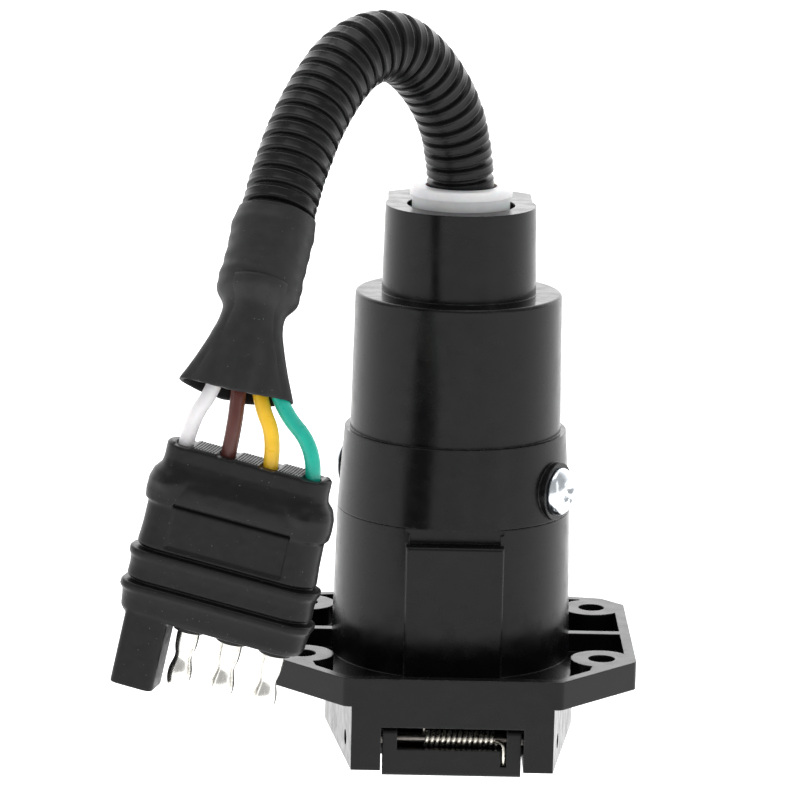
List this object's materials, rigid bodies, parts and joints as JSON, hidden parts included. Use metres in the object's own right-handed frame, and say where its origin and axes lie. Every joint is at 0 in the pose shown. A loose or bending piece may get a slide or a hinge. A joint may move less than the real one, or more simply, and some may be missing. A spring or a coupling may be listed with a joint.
{
  "type": "trailer wiring adapter",
  "caption": "Black trailer adapter: round seven-way blade socket with a sprung lid and bolt flange, corrugated loom, and a four-way flat plug on coloured wires.",
  "frame": {"origin": "on the socket axis, at the upper face of the mounting flange", "axes": "+Z along the socket axis towards the loom, -Y towards the lid hinge, +X to the right seen from the hinge"},
  "size_m": [0.116, 0.1195, 0.1694],
  "materials": {
    "housing_plastic": "moulded glass-filled nylon, fine satin grain",
    "seal_rubber": "smooth black rubber",
    "zinc_screw": "bright bluish zinc plating",
    "carrier_plastic": "moulded nylon",
    "contact_brass": "stamped brass",
    "pin_steel": "drawn steel rod",
    "spring_steel": "bright spring wire",
    "bushing_white": "natural white nylon",
    "loom_plastic": "corrugated polyethylene, low gloss",
    "shrink_sleeve": "matte shrunk polyolefin",
    "insulation_white": "PVC insulation",
    "insulation_brown": "PVC insulation",
    "insulation_yellow": "PVC insulation",
    "insulation_green": "PVC insulation",
    "plug_rubber": "overmoulded soft PVC, satin",
    "contact_nickel": "bright nickel plating"
  },
  "bodies": {
    "root": {"socket_housing": "housing_plastic", "rear_cap": "housing_plastic", "cap_seal": "seal_rubber", "cap_screws": "zinc_screw", "contact_carrier": "carrier_plastic", "carrier_screws": "zinc_screw", "blade_battery": "contact_brass", "blade_tail": "contact_brass", "blade_brake": "contact_brass", "blade_ground": "contact_brass", "blade_left_turn": "contact_brass", "blade_right_turn": "contact_brass", "center_pin": "contact_brass", "terminal_screws": "zinc_screw", "hinge_pin": "pin_steel", "lid_spring": "spring_steel", "loom_bushing": "bushing_white", "lead_white": "insulation_white", "lead_brown": "insulation_brown", "lead_yellow": "insulation_yellow", "lead_green": "insulation_green", "loom": "loom_plastic", "heat_shrink_sleeve": "shrink_sleeve", "wire_white": "insulation_white", "wire_brown": "insulation_brown", "wire_yellow": "insulation_yellow", "wire_green": "insulation_green", "flat_plug_body": "plug_rubber", "flat_socket_white": "contact_nickel", "flat_pin_brown": "contact_nickel", "flat_pin_yellow": "contact_nickel", "flat_pin_green": "contact_nickel"},
    "lid": {"lid": "housing_plastic", "lid_seal": "seal_rubber"}
  },
  "joints": [
    {"name": "lid_hinge", "type": "hinge", "parent": "root", "child": "lid", "pos_m": [0, -0.035, -0.0159], "axis": [-1, 0, 0], "range_deg": [0, 105], "stiffness_Nm_per_rad": 0.02, "springref_deg": -34.38, "deforming": ["lid_spring"]}
  ]
}
